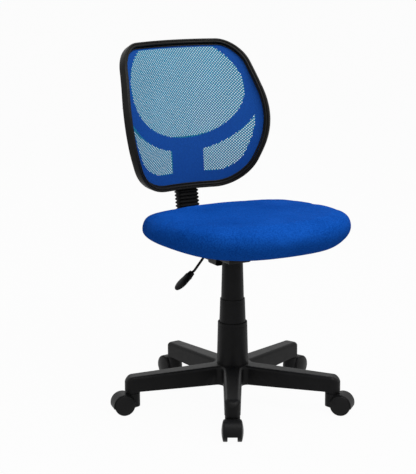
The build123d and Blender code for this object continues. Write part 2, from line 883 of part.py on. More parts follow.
with BuildPart() as seat_bolts:
    with BuildSketch(Plane.XY.offset(plate_bottom - bolt_head_height)):
        with GridLocations(bolt_span_x, bolt_span_y, 2, 2):
            RegularPolygon(bolt_head_radius, 6)
    extrude(amount=bolt_head_height)
    with BuildSketch(Plane.XY.offset(plate_bottom)):
        with GridLocations(bolt_span_x, bolt_span_y, 2, 2):
            Circle(bolt_radius)
    extrude(amount=board_top - plate_bottom)
save(seat_bolts, "seat_bolts")

with BuildPart() as tee_nuts:
    with BuildSketch(Plane.XY.offset(tee_floor)):
        with GridLocations(bolt_span_x, bolt_span_y, 2, 2):
            Circle(tee_flange_radius)
    extrude(amount=tee_flange_height)
    with BuildSketch(Plane.XY.offset(tee_floor - tee_barrel_height)):
        with GridLocations(bolt_span_x, bolt_span_y, 2, 2):
            Circle(tee_barrel_radius)
    extrude(amount=tee_barrel_height)
    with BuildSketch(Plane.XY.offset(board_bottom)):
        with GridLocations(bolt_span_x, bolt_span_y, 2, 2):
            Circle(bolt_radius + press_gap)
    extrude(amount=board_thickness, mode=Mode.SUBTRACT)
save(tee_nuts, "tee_nuts")


# Back: one curved surface carries the rail, the mesh, its cord and the lumbar arms
def bowed_depth(u, w, bow):
    lean = tan(radians(back_lean)) * w
    lumbar = (w - lumbar_height) ** 2 / (2 * lumbar_radius)
    edge_drop = back_widest_half**2 / (2 * back_wrap_radius) + bow
    radius = (back_widest_half**2 + edge_drop**2) / (2 * edge_drop)
    return back_y + lean + lumbar + bow - radius + sqrt(radius**2 - u**2)


def back_depth(u, w):
    return bowed_depth(u, w, 0)


def mesh_depth(u, w):
    middle = back_height / 2
    return bowed_depth(u, w, mesh_sag * (1 - ((w - middle) / middle) ** 2))


def upright_depth(w):
    return back_depth(0, 0) + bar_set_back + tan(radians(bar_lean)) * w


upright_way = Vector(0, sin(radians(bar_lean)), cos(radians(bar_lean)))
upright_foot = Vector(0, upright_depth(0), back_bottom)


def upright_plane(length):
    return Plane(origin=upright_foot + upright_way * length, x_dir=(1, 0, 0), z_dir=upright_way)


# Outline of the back seen from the front, drawn in by an inset
def back_outline(inset):
    half_points = [
        (back_bottom_half, 0),
        (back_widest_half, back_widest_height),
        (back_top_half, back_height),
    ]
    points = half_points + [(-u, w) for u, w in reversed(half_points)]
    corners = [back_bottom_corner, back_side_corner, back_top_corner]
    with BuildSketch(Plane.XZ) as outline:
        with BuildLine():
            FilletPolyline(
                *[(u, back_bottom + w) for u, w in points],
                radius=corners + corners[::-1],
                close=True,
            )
        make_face()
        if inset:
            offset(amount=-inset)
    return outline


# Curved slab that follows a depth function from below the back to above it
def back_slab(depth, front, thickness):
    with BuildPart() as slab:
        for level in range(back_levels):
            w = back_height * ((1 + 2 * slab_over) * level / (back_levels - 1) - slab_over)
            with BuildSketch(Plane.XY.offset(back_bottom + w)):
                with BuildLine():
                    edge = depth(back_widest_half, w) + front
                    middle = depth(0, w) + front
                    ThreePointArc((-back_widest_half, edge), (0, middle), (back_widest_half, edge))
                    ThreePointArc(
                        (-back_widest_half, edge + thickness),
                        (0, middle + thickness),
                        (back_widest_half, edge + thickness),
                    )
                    Line((-back_widest_half, edge), (-back_widest_half, edge + thickness))
                    Line((back_widest_half, edge), (back_widest_half, edge + thickness))
                make_face()
        loft()
    return slab


arm_drop = upright_depth(arm_height) - mesh_depth(0, arm_height) - arm_behind_mesh


def arm_point(u):
    share = (u / arm_reach) ** 2
    w = arm_height + arm_end_rise * (arm_early_rise * share + (1 - arm_early_rise) * share**2)
    behind = arm_behind_mesh + (arm_end_behind - arm_behind_mesh) * share**4
    return Vector(u, mesh_depth(u, w) + behind + arm_drop * (1 - share) ** 2, back_bottom + w)


def arm_plane(u):
    point = arm_point(u)
    w = point.Z - back_bottom
    along = (arm_point(u + arm_probe) - arm_point(u - arm_probe)).normalized()
    across = mesh_depth(u + arm_probe, w) - mesh_depth(u - arm_probe, w)
    rise = mesh_depth(u, w + arm_probe) - mesh_depth(u, w - arm_probe)
    back = Vector(-across, 2 * arm_probe, -rise)
    return Plane(origin=point, x_dir=back - along * along.dot(back), z_dir=along)


back_span = 2 * back_wrap_radius
with BuildPart() as back_rail:
    add(back_slab(back_depth, -rail_depth / 2, rail_depth).part)
    extrude(back_outline(0).sketch, amount=-back_span, mode=Mode.INTERSECT)
    extrude(back_outline(rail_face).sketch, amount=-back_span, mode=Mode.SUBTRACT)
    faces = back_rail.faces().filter_by(GeomType.BSPLINE)
    fillet(faces.edges(), rail_edge_radius)

with BuildPart() as arm_half:
    for number in range(arm_sections):
        share = number / (arm_sections - 1)
        with BuildSketch(arm_plane(arm_reach * share)):
            face = arm_face + (arm_end_face - arm_face) * share**2
            RectangleRounded(arm_thickness, face, arm_edge_radius)
    loft()

bolt_lengths = [bar_in_back - 2 * bar_bolt_span, bar_in_back - bar_bolt_span / 2]


def bolt_plane(length):
    place = upright_plane(length)
    return Plane(origin=place.origin + place.y_dir * stem_depth / 2, x_dir=(1, 0, 0), z_dir=place.y_dir)


with BuildPart() as back_frame:
    add(back_rail.part)
    add(arm_half.part)
    mirror(arm_half.part, about=Plane.YZ)
    with BuildSketch(upright_plane(-stem_mouth)):
        RectangleRounded(stem_width, stem_depth, stem_edge_radius)
    extrude(amount=stem_length)
    with BuildSketch(upright_plane(-stem_mouth)):
        Rectangle(bar_width + 2 * press_gap, bar_thickness + 2 * press_gap)
    extrude(amount=bar_in_back + stem_mouth + seat_gap, mode=Mode.SUBTRACT)
    with BuildSketch(*[bolt_plane(length) for length in bolt_lengths]):
        Circle(bolt_radius + press_gap)
    extrude(amount=-stem_depth / 2, mode=Mode.SUBTRACT)
save(back_frame, "back_frame")

with BuildPart() as back_mesh:
    add(back_slab(mesh_depth, -mesh_thickness / 2, mesh_thickness).part)
    extrude(back_outline(rail_face + seat_gap).sketch, amount=-back_span, mode=Mode.INTERSECT)
save(back_mesh, "back_mesh")

cord_front = -mesh_thickness / 2 - press_gap - cord_size
with BuildPart() as mesh_cord:
    add(back_slab(mesh_depth, cord_front, cord_size).part)
    extrude(back_outline(rail_face + press_gap).sketch, amount=-back_span, mode=Mode.INTERSECT)
    extrude(back_outline(rail_face + press_gap + cord_size).sketch, amount=-back_span, mode=Mode.SUBTRACT)
save(mesh_cord, "mesh_cord")

# Upright: flat steel bent up behind the seat, bolted into the housing and into the stem of the back
bar_corner = Vector(0, upright_depth(bar_middle - back_bottom), bar_middle)
bar_start = housing_step + 3 * housing_wall
bar_end = upright_foot + upright_way * bar_in_back

with BuildPart() as back_bar:
    with BuildLine():
        FilletPolyline((0, bar_start, bar_middle), bar_corner, bar_end, radius=bar_bend_radius)
    with BuildSketch(Plane.XZ.offset(-bar_start)):
        with Locations((0, bar_middle)):
            Rectangle(bar_width, bar_thickness)
    sweep()
    with BuildSketch(Plane.XY.offset(bar_middle)):
        with Locations((0, bar_bolt_y)):
            with GridLocations(bar_bolt_span, 0, 2, 1):
                Circle(bolt_radius + press_gap)
    extrude(amount=bar_thickness, both=True, mode=Mode.SUBTRACT)
    with BuildSketch(*[bolt_plane(length) for length in bolt_lengths]):
        Circle(bolt_radius + press_gap)
    extrude(amount=-stem_depth, mode=Mode.SUBTRACT)
save(back_bar, "back_bar")

bar_top = bar_middle + bar_thickness / 2
with BuildPart() as bar_bolts:
    with BuildSketch(Plane.XY.offset(bar_top)):
        with Locations((0, bar_bolt_y)):
            with GridLocations(bar_bolt_span, 0, 2, 1):
                RegularPolygon(bolt_head_radius, 6)
    extrude(amount=bolt_head_height)
    with BuildSketch(Plane.XY.offset(rear_floor)):
        with Locations((0, bar_bolt_y)):
            with GridLocations(bar_bolt_span, 0, 2, 1):
                Circle(bolt_radius)
    extrude(amount=bar_top - rear_floor)
save(bar_bolts, "bar_bolts")

with BuildPart() as back_bolts:
    with BuildSketch(*[bolt_plane(length) for length in bolt_lengths]):
        RegularPolygon(bolt_head_radius, 6)
    extrude(amount=bolt_head_height)
    with BuildSketch(*[bolt_plane(length) for length in bolt_lengths]):
        Circle(bolt_radius)
    extrude(amount=-(stem_depth + bar_thickness) / 2)
save(back_bolts, "back_bolts")

# Ribbed boot over the upright, from the stem of the back down to the bend
boot_top = -stem_mouth - seat_gap
boot_bottom = boot_top - boot_rib_count * boot_rib_pitch
root_width = boot_width - 2 * boot_rib_depth
root_depth = boot_depth - 2 * boot_rib_depth
with BuildPart() as back_boot:
    for rib in range(boot_rib_count):
        for share, crest in ((0, 0), (boot_crest_start, 1), (boot_crest_end, 1), (boot_root_start, 0)):
            grow = 2 * boot_rib_depth * crest
            with BuildSketch(upright_plane(boot_bottom + boot_rib_pitch * (rib + share))):
                RectangleRounded(root_width + grow, root_depth + grow, boot_corner_radius)
    with BuildSketch(upright_plane(boot_top)):
        RectangleRounded(root_width, root_depth, boot_corner_radius)
    loft(ruled=True)
    with BuildSketch(upright_plane(boot_bottom)):
        RectangleRounded(root_width - 2 * boot_wall, root_depth - 2 * boot_wall, boot_corner_radius - boot_wall)
    extrude(amount=boot_top - boot_bottom, mode=Mode.SUBTRACT)
save(back_boot, "back_boot")
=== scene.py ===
import json
import math

import bmesh
import bpy
from mathutils import Matrix, Vector
from mathutils.kdtree import KDTree


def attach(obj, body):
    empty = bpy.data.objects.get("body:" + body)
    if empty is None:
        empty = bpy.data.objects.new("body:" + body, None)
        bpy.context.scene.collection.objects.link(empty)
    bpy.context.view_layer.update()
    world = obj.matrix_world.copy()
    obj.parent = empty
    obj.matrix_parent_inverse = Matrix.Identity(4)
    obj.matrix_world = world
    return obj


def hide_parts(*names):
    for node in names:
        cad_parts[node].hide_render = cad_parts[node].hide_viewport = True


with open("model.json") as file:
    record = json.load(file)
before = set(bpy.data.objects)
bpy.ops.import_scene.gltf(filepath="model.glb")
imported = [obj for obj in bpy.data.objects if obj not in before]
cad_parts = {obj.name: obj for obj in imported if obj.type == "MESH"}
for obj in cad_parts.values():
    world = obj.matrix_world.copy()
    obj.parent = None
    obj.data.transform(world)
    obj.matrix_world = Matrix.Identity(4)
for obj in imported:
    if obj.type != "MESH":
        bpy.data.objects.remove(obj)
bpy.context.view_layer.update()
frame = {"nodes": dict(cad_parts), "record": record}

nodes = frame["nodes"]
scene = bpy.context.scene
scene.view_settings.view_transform = "Standard"
for leftover in [o for o in scene.objects if o.type in {"MESH", "LIGHT", "CAMERA"} and o.name not in nodes]:
    bpy.data.objects.remove(leftover)
print("frame:", len(nodes), "nodes")

# camera, fitted to the photograph
cameraSet = {
    "place": (-1.7822, -3.0868, 1.2327), "pitch": 12.96, "turn": -30.0, "lens": 116.62, "shiftX": -0.0517,
    "sensor": 36, "far": 100,
}
cameraData = bpy.data.cameras.new("photoCamera")
camera = bpy.data.objects.new("photoCamera", cameraData)
scene.collection.objects.link(camera)
camera.location = cameraSet["place"]
camera.rotation_euler = (math.radians(90 - cameraSet["pitch"]), 0, math.radians(cameraSet["turn"]))
cameraData.lens = cameraSet["lens"]
cameraData.sensor_width = cameraSet["sensor"]
cameraData.shift_x = cameraSet["shiftX"]
cameraData.clip_end = cameraSet["far"]
scene.camera = camera


# materials
def addNode(tree, kind, **values):
    node = tree.nodes.new(kind)
    for key, value in values.items():
        if hasattr(node, key):
            setattr(node, key, value)
        else:
            node.inputs[key.replace("_", " ")].default_value = value
    return node


def newMaterial(name):
    material = bpy.data.materials.new(name)
    material.use_nodes = True
    tree = material.node_tree
    tree.nodes.clear()
    output = tree.nodes.new("ShaderNodeOutputMaterial")
    shader = tree.nodes.new("ShaderNodeBsdfPrincipled")
    tree.links.new(shader.outputs[0], output.inputs[0])
    return material, tree, shader


def shadeRamp(tree, factor, dark, light, low=0.35, high=0.65):
    ramp = tree.nodes.new("ShaderNodeValToRGB")
    ramp.color_ramp.elements[0].position = low
    ramp.color_ramp.elements[1].position = high
    ramp.color_ramp.elements[0].color = (*dark, 1)
    ramp.color_ramp.elements[1].color = (*light, 1)
    tree.links.new(factor, ramp.inputs[0])
    return ramp.outputs[0]


def spread(tree, factor, low, high):
    node = tree.nodes.new("ShaderNodeMapRange")
    node.inputs["To Min"].default_value = low
    node.inputs["To Max"].default_value = high
    tree.links.new(factor, node.inputs[0])
    return node.outputs[0]


def noise(tree, coordinate, scale, detail=3.0):
    node = addNode(tree, "ShaderNodeTexNoise", Scale=scale, Detail=detail)
    tree.links.new(coordinate, node.inputs["Vector"])
    return node.outputs[0]


def bump(tree, shader, height, strength, distance):
    node = addNode(tree, "ShaderNodeBump", Strength=strength, Distance=distance)
    tree.links.new(height, node.inputs["Height"])
    tree.links.new(node.outputs[0], shader.inputs["Normal"])


def math2(tree, operation, a, b=None):
    node = tree.nodes.new("ShaderNodeMath")
    node.operation = operation
    for socket, value in zip(node.inputs, (a, b)):
        if value is None:
            continue
        if isinstance(value, (int, float)):
            socket.default_value = value
        else:
            tree.links.new(value, socket)
    return node.outputs[0]


moulding = {"cloud": 16.0, "cloudDetail": 4.0, "wear": 70.0, "grainDetail": 2.0, "bump": 0.35}


def mouldedFinish(name, dark, light, grain=1100.0, rough=(0.4, 0.52), depth=0.00012, metallic=0.0, specular=0.5):
    material, tree, shader = newMaterial(name)
    place = tree.nodes.new("ShaderNodeTexCoord").outputs["Object"]
    cloud = noise(tree, place, moulding["cloud"], moulding["cloudDetail"])
    tree.links.new(shadeRamp(tree, cloud, dark, light), shader.inputs["Base Color"])
    tree.links.new(spread(tree, noise(tree, place, moulding["wear"]), *rough), shader.inputs["Roughness"])
    bump(tree, shader, noise(tree, place, grain, moulding["grainDetail"]), moulding["bump"], depth)
    shader.inputs["Metallic"].default_value = metallic
    shader.inputs["Specular IOR Level"].default_value = specular
    return material


blackPlastic = mouldedFinish("blackPlastic", (0.004, 0.004, 0.0043), (0.0068, 0.0068, 0.0072), specular=0.11)
wheelPlastic = mouldedFinish(
    "wheelPlastic", (0.0045, 0.0045, 0.0048), (0.007, 0.007, 0.0074), grain=1500.0, rough=(0.34, 0.46), specular=0.14)
railPlastic = mouldedFinish(
    "railPlastic", (0.0056, 0.0053, 0.0048), (0.0092, 0.0086, 0.0079), grain=1300.0, rough=(0.36, 0.48), specular=0.12)
blackRubber = mouldedFinish(
    "blackRubber", (0.0025, 0.0025, 0.0025), (0.0045, 0.0045, 0.0045), grain=900.0, rough=(0.5, 0.62), specular=0.07)
blackSteel = mouldedFinish(
    "blackSteel", (0.0045, 0.0045, 0.005), (0.0075, 0.0075, 0.008), grain=2400.0, rough=(0.36, 0.48), depth=0.00006,
    specular=0.12)
zincSteel = mouldedFinish(
    "zincSteel", (0.42, 0.42, 0.43), (0.56, 0.56, 0.58), grain=1800.0, rough=(0.28, 0.42), depth=0.00003, metallic=1.0)
chromeSteel = mouldedFinish(
    "chromeSteel", (0.6, 0.6, 0.62), (0.7, 0.7, 0.72), grain=2600.0, rough=(0.06, 0.12), depth=0.00001, metallic=1.0)
guidePlastic = mouldedFinish(
    "guidePlastic", (0.55, 0.53, 0.48), (0.63, 0.61, 0.56), grain=1400.0, rough=(0.4, 0.5))
boardWood = mouldedFinish(
    "boardWood", (0.3, 0.18, 0.08), (0.42, 0.27, 0.13), grain=400.0, rough=(0.6, 0.75), depth=0.0003)
dustCloth = mouldedFinish(
    "dustCloth", (0.008, 0.008, 0.009), (0.014, 0.014, 0.015), grain=2200.0, rough=(0.8, 0.92), depth=0.0003,
    specular=0.08)

seatWeave = {
    "dark": (0.0017, 0.05, 0.3), "light": (0.0075, 0.096, 0.49), "low": 0.55, "high": 0.95, "pitch": 0.0022,
    "weaveShare": 0.06, "speck": 300.0, "patch": 9.0, "patchShare": 0.5, "speckRelief": 2.0, "bump": 0.3,
    "relief": 0.0004, "rough": 0.85, "specular": 0.01,
}


def seatCloth(name):
    material, tree, shader = newMaterial(name)
    place = tree.nodes.new("ShaderNodeTexCoord").outputs["Object"]
    parts = tree.nodes.new("ShaderNodeSeparateXYZ")
    tree.links.new(place, parts.inputs[0])
    pace = 2 * math.pi / seatWeave["pitch"]
    turns = [math2(tree, "SINE", math2(tree, "MULTIPLY", axis, pace)) for axis in parts.outputs]
    weave = math2(tree, "MULTIPLY", math2(tree, "ADD", turns[0], turns[2]), math2(tree, "ADD", turns[1], turns[2]))
    speck = noise(tree, place, seatWeave["speck"])
    mixed = math2(tree, "ADD", math2(tree, "MULTIPLY", weave, seatWeave["weaveShare"]), speck)
    patch = noise(tree, place, seatWeave["patch"])
    mixed = math2(tree, "ADD", mixed, math2(tree, "MULTIPLY", patch, seatWeave["patchShare"]))
    colour = shadeRamp(tree, mixed, seatWeave["dark"], seatWeave["light"], seatWeave["low"], seatWeave["high"])
    tree.links.new(colour, shader.inputs["Base Color"])
    height = math2(tree, "ADD", weave, math2(tree, "MULTIPLY", speck, seatWeave["speckRelief"]))
    bump(tree, shader, height, seatWeave["bump"], seatWeave["relief"])
    shader.inputs["Roughness"].default_value = seatWeave["rough"]
    shader.inputs["Specular IOR Level"].default_value = seatWeave["specular"]
    return material


seatFabric = seatCloth("seatFabric")

meshWeave = {
    "pitch": 0.0068, "thread": 0.282, "tooth": 0.0068, "toothDepth": 0.0018,
    "closed": ((0.006, 0.055, 0.27), (0.01, 0.085, 0.38)), "open": ((0.008, 0.17, 0.3), (0.016, 0.25, 0.42)),
    "low": 0.45, "high": 0.9, "speck": 500.0, "patch": 10.0, "patchShare": 0.4, "bump": 0.5, "relief": 0.0006,
    "rough": 0.75, "specular": 0.08,
}


def meshCloth(name):
    material, tree, shader = newMaterial(name)
    uv = tree.nodes.new("ShaderNodeUVMap")
    uv.uv_map = "cloth"
    parts = tree.nodes.new("ShaderNodeSeparateXYZ")
    tree.links.new(uv.outputs[0], parts.inputs[0])
    u, w = parts.outputs[0], parts.outputs[1]
    zone = tree.nodes.new("ShaderNodeAttribute")
    zone.attribute_name = "openZone"
    tooth = math2(tree, "PINGPONG", u, meshWeave["tooth"] / 2)
    tooth = math2(tree, "MULTIPLY", tooth, 2 * meshWeave["toothDepth"] / meshWeave["tooth"])
    isOpen = math2(tree, "GREATER_THAN", math2(tree, "ADD", zone.outputs["Fac"], tooth), meshWeave["toothDepth"] / 2)
    strands = []
    for operation in ("ADD", "SUBTRACT"):
        along = math2(tree, "DIVIDE", math2(tree, operation, u, w), meshWeave["pitch"])
        ripple = math2(tree, "ABSOLUTE", math2(tree, "SUBTRACT", math2(tree, "FRACT", along), 0.5))
        strands.append(ripple)
    nearest = math2(tree, "MINIMUM", *strands)
    thread = math2(tree, "LESS_THAN", nearest, meshWeave["thread"])
    alpha = math2(tree, "MAXIMUM", math2(tree, "SUBTRACT", 1.0, isOpen), thread)
    tree.links.new(alpha, shader.inputs["Alpha"])
    place = tree.nodes.new("ShaderNodeTexCoord").outputs["Object"]
    patch = math2(tree, "MULTIPLY", noise(tree, place, meshWeave["patch"]), meshWeave["patchShare"])
    speck = math2(tree, "ADD", noise(tree, place, meshWeave["speck"]), patch)
    closed = shadeRamp(tree, speck, *meshWeave["closed"], meshWeave["low"], meshWeave["high"])
    openTint = shadeRamp(tree, speck, *meshWeave["open"], meshWeave["low"], meshWeave["high"])
    tint = tree.nodes.new("ShaderNodeMix")
    tint.data_type = "RGBA"
    tree.links.new(isOpen, tint.inputs["Factor"])
    tree.links.new(closed, tint.inputs["A"])
    tree.links.new(openTint, tint.inputs["B"])
    tree.links.new(tint.outputs["Result"], shader.inputs["Base Color"])
    bump(tree, shader, math2(tree, "MULTIPLY", nearest, -1.0), meshWeave["bump"], meshWeave["relief"])
    shader.inputs["Roughness"].default_value = meshWeave["rough"]
    shader.inputs["Specular IOR Level"].default_value = meshWeave["specular"]
    return material


meshFabric = meshCloth("meshFabric")
print("materials ready")

finishes = {
    "black_plastic": blackPlastic,
    "wheel_plastic": wheelPlastic,
    "black_steel": blackSteel,
    "bright_steel": zincSteel,
    "chromed_steel": chromeSteel,
    "guide_plastic": guidePlastic,
    "black_rubber": blackRubber,
    "plywood": boardWood,
    "blue_fabric": seatFabric,
    "black_cloth": dustCloth,
    "blue_mesh": meshFabric,
    "cord_plastic": railPlastic,
}
for subpart in frame["record"]["subparts"]:
    cadObject = nodes[subpart["node"]]
    cadObject.data.materials.clear()
    cadObject.data.materials.append(finishes[subpart["material_slot"]])


# shared making tools; only the rail's section and the paddle's rings are written in millimetres
weldGap = 1e-6
probeStep = 0.0005
perMetre = 1000


def wrapGrid(mesh, around, along, place):
    made = bmesh.ops.create_grid(mesh, x_segments=around, y_segments=along, size=1.0)
    for vert in made["verts"]:
        vert.co = place((vert.co.x + 1) / 2, (vert.co.y + 1) / 2)
    bmesh.ops.remove_doubles(mesh, verts=mesh.verts[:], dist=weldGap)


def fillHoles(mesh):
    bmesh.ops.holes_fill(mesh, edges=[edge for edge in mesh.edges if edge.is_boundary], sides=0)


def finishPiece(name, mesh, material, body, stands, sharp=35.0, recalc=True):
    if recalc:
        bmesh.ops.recalc_face_normals(mesh, faces=mesh.faces[:])
    data = bpy.data.meshes.new(name)
    mesh.to_mesh(data)
    mesh.free()
    for face in data.polygons:
        face.use_smooth = True
    data.set_sharp_from_angle(angle=math.radians(sharp))
    data.materials.append(material)
    piece = bpy.data.objects.new(name, data)
    scene.collection.objects.link(piece)
    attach(piece, body)
    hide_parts(*stands)
    return piece


def evenShading(piece):
    weighted = piece.modifiers.new("evenShading", "WEIGHTED_NORMAL")
    weighted.mode = "FACE_AREA"
    weighted.weight = 100
    weighted.keep_sharp = True


# form of the back
back = {
    "bottom": 0.4928, "y": 0.1993, "lean": 8.2, "wrap": 0.276, "lumbar": 0.3846, "lumbarHeight": 0.142,
    "height": 0.3565, "sag": 0.020, "widest": 0.2112, "barLean": 10.2, "barSetBack": 0.007,
    "corners": ((0.1441, 0.002, 0.1108), (0.2112, 0.1658, 0.2685), (0.1675, 0.3565, 0.0677)),
    "step": 0.004, "meshGap": 0.006, "meshForward": 0.006, "railForward": 0.0035,
}


def bowedDepth(u, w, bow):
    lean = math.tan(math.radians(back["lean"])) * w
    lumbar = (w - back["lumbarHeight"]) ** 2 / (2 * back["lumbar"])
    drop = back["widest"] ** 2 / (2 * back["wrap"]) + bow
    radius = (back["widest"] ** 2 + drop**2) / (2 * drop)
    return back["y"] + lean + lumbar + bow - radius + math.sqrt(radius**2 - u**2)


def railDepth(u, w):
    return bowedDepth(u, w, 0.0)


def meshDepth(u, w):
    middle = back["height"] / 2
    return bowedDepth(u, w, back["sag"] * (1 - ((w - middle) / middle) ** 2)) - back["meshForward"]


def uprightDepth(w):
    return railDepth(0, 0) + back["barSetBack"] + math.tan(math.radians(back["barLean"])) * w


def outlineSamples(step):
    half = list(back["corners"])
    ring = half + [(-u, w, r) for u, w, r in reversed(half)]
    samples = []
    for index, (u, w, radius) in enumerate(ring):
        corner = Vector((u, w))
        before = (Vector(ring[index - 1][:2]) - corner).normalized()
        after = (Vector(ring[(index + 1) % len(ring)][:2]) - corner).normalized()
        halfAngle = before.angle(after) / 2
        centre = corner + (before + after).normalized() * radius / math.sin(halfAngle)
        start = corner + before * radius / math.tan(halfAngle) - centre
        sweep = math.pi - 2 * halfAngle
        count = max(3, round(radius * sweep / step))
        arc = []
        for n in range(count + 1):
            spoke = start.copy()
            spoke.rotate(Matrix.Rotation(sweep * n / count, 2))
            arc.append((centre + spoke, spoke.normalized()))
        if samples:
            samples += straightSamples(samples[-1], arc[0], step)
        samples += arc
    samples += straightSamples(samples[-1], samples[0], step)
    return samples


def straightSamples(first, last, step):
    run = last[0] - first[0]
    count = max(1, round(run.length / step))
    return [(first[0] + run * n / count, first[1]) for n in range(1, count)]


def onBack(point, depth, out):
    return Vector((point.x, depth(point.x, point.y) + out, back["bottom"] + point.y))


def acrossRail(point, normal, inset, out):
    outStep, alongStep = normal * probeStep, Vector((-normal.y, normal.x)) * probeStep
    inward = onBack(point - outStep, railDepth, 0) - onBack(point + outStep, railDepth, 0)
    forward = onBack(point + alongStep, railDepth, 0) - onBack(point - alongStep, railDepth, 0)
    behind = inward.cross(forward).normalized()
    behind *= math.copysign(1, behind.y)
    return onBack(point, railDepth, 0) + inward.normalized() * inset + behind * (out - back["railForward"])


outline = outlineSamples(back["step"])
print("back outline:", len(outline), "points")

# rail: a moulded section with a groove in its face, as inset and depth, run round the outline
railSection = (
    (0.0, -6.4), (0.5, -7.9), (1.6, -9.0), (3.2, -9.5), (4.9, -9.1), (5.8, -8.1), (6.1, -7.6), (6.5, -8.1), (7.4, -8.9),
    (8.9, -9.3), (10.6, -8.9), (11.6, -7.8), (12.0, -6.2), (12.0, 6.6), (11.3, 8.6), (9.4, 9.5), (2.6, 9.5), (0.7, 8.6),
    (0.0, 6.6),
)


def railPlace(s, t):
    inset, out = railSection[round(s * len(railSection)) % len(railSection)]
    point, normal = outline[round(t * len(outline)) % len(outline)]
    return acrossRail(point, normal, inset / perMetre, out / perMetre)


railMesh = bmesh.new()
wrapGrid(railMesh, len(railSection), len(outline), railPlace)

# lumbar arms and the stem that they run into
arm = {
    "height": 0.112, "reach": 0.193, "rise": 0.113, "early": 0.55, "face": 0.027, "endFace": 0.018,
    "thickness": 0.007, "behind": 0.009, "endBehind": 0.006, "round": 0.0022, "steps": 44,
}
armDrop = uprightDepth(arm["height"]) - meshDepth(0, arm["height"]) - arm["behind"]


def armPoint(u):
    share = (u / arm["reach"]) ** 2
    w = arm["height"] + arm["rise"] * (arm["early"] * share + (1 - arm["early"]) * share**2)
    behind = arm["behind"] + (arm["endBehind"] - arm["behind"]) * share**4
    return onBack(Vector((u, w)), meshDepth, behind + armDrop * (1 - share) ** 2)


cornerSteps = 4


def roundedSection(width, depth, radius, perCorner=cornerSteps):
    points = []
    for quarter in range(4):
        cx = (width / 2 - radius) * (1 if quarter in (0, 3) else -1)
        cy = (depth / 2 - radius) * (1 if quarter in (0, 1) else -1)
        for n in range(perCorner + 1):
            angle = math.pi / 2 * (quarter + n / perCorner)
            points.append(Vector((cx + radius * math.cos(angle), cy + radius * math.sin(angle))))
    return points


def armPlace(s, t):
    u = arm["reach"] * (2 * t - 1)
    point = armPoint(u)
    w = point.z - back["bottom"]
    along = (armPoint(u + probeStep) - armPoint(u - probeStep)).normalized()
    across = meshDepth(u + probeStep, w) - meshDepth(u - probeStep, w)
    rise = meshDepth(u, w + probeStep) - meshDepth(u, w - probeStep)
    outward = Vector((-across, 2 * probeStep, -rise))
    outward = (outward - along * along.dot(outward)).normalized()
    face = arm["face"] + (arm["endFace"] - arm["face"]) * (2 * t - 1) ** 2
    section = roundedSection(arm["thickness"], face, arm["round"])
    spot = section[round(s * len(section)) % len(section)]
    return point + outward * spot.x + along.cross(outward) * spot.y


wrapGrid(railMesh, 4 * (cornerSteps + 1), arm["steps"], armPlace)
fillHoles(railMesh)

stem = {"width": 0.062, "depth": 0.015, "length": 0.122, "mouth": 0.003, "round": 0.004, "bevel": 0.003}
stemLevels = (
    (0.0, 1.0), (0.02, 1.0), (0.06, 1.0), (0.1, 1.0), (stem["length"] - stem["bevel"], 1.0),
    (stem["length"] - stem["bevel"] / 3, 0.97), (stem["length"], 0.9),
)
uprightWay = Vector((0, math.sin(math.radians(back["barLean"])), math.cos(math.radians(back["barLean"]))))
uprightBack = Vector((0, uprightWay.z, -uprightWay.y))
uprightFoot = Vector((0, uprightDepth(0), back["bottom"]))


def uprightPoint(x, depth, length):
    return uprightFoot + Vector((1, 0, 0)) * x + uprightBack * depth + uprightWay * length


def stemPlace(s, t):
    section = roundedSection(stem["width"], stem["depth"], stem["round"])
    spot = section[round(s * len(section)) % len(section)]
    length, draw = stemLevels[round(t * (len(stemLevels) - 1))]
    return uprightPoint(spot.x * draw, spot.y * draw, length - stem["mouth"])


wrapGrid(railMesh, 4 * (cornerSteps + 1), len(stemLevels) - 1, stemPlace)
fillHoles(railMesh)
finishPiece("backFrame", railMesh, railPlastic, "seat", ["back_frame"])

# edge cord, a little sunk in the rail and just ahead of the mesh
cord = {"inset": 0.012, "radius": 0.0017, "sunk": 0.0004, "ahead": 0.0004, "around": 10}
cordMesh = bmesh.new()


def cordPlace(s, t):
    point, normal = outline[round(t * len(outline)) % len(outline)]
    inset = cord["inset"] + cord["radius"] * (1 + math.cos(2 * math.pi * s)) - cord["sunk"]
    spot = acrossRail(point, normal, inset, 0)
    out = cord["radius"] * (math.sin(2 * math.pi * s) - 1) - cord["ahead"]
    return onBack(spot.xz - Vector((0, back["bottom"])), meshDepth, out)


wrapGrid(cordMesh, cord["around"], len(outline), cordPlace)
finishPiece("meshCord", cordMesh, railPlastic, "seat", ["mesh_cord"])

# mesh of the back, with three open zones round a lumbar band and a middle strip
zone = {
    "centre": 0.250, "innerA": 0.156, "innerB": 0.123, "topB": 0.092, "outerA": 0.190, "outerB": 0.157,
    "margin": 0.0395, "sideMargin": 0.028, "strip": 0.0445, "thickness": 0.0003, "rings": 60,
}
edgeTree = KDTree(len(outline))
for index, (point, normal) in enumerate(outline):
    edgeTree.insert((point.x, point.y, 0), index)
edgeTree.balance()


def openness(u, w):
    dw = w - zone["centre"]
    upper = (1 - math.hypot(u / zone["innerA"], dw / zone["innerB"])) * (zone["innerA"] + zone["innerB"]) / 2
    upper = min(upper, zone["topB"] - dw)
    below = (math.hypot(u / zone["outerA"], dw / zone["outerB"]) - 1) * (zone["outerA"] + zone["outerB"]) / 2
    _, index, distance = edgeTree.find((u, w, 0))
    inside = distance - zone["sideMargin"] - (zone["margin"] - zone["sideMargin"]) * abs(outline[index][1].y)
    lower = min(below, inside, abs(u) - zone["strip"]) if dw < 0 else -1.0
    return max(upper, lower)


sheetMesh = bmesh.new()
clothCentre = Vector((0, back["height"] / 2))


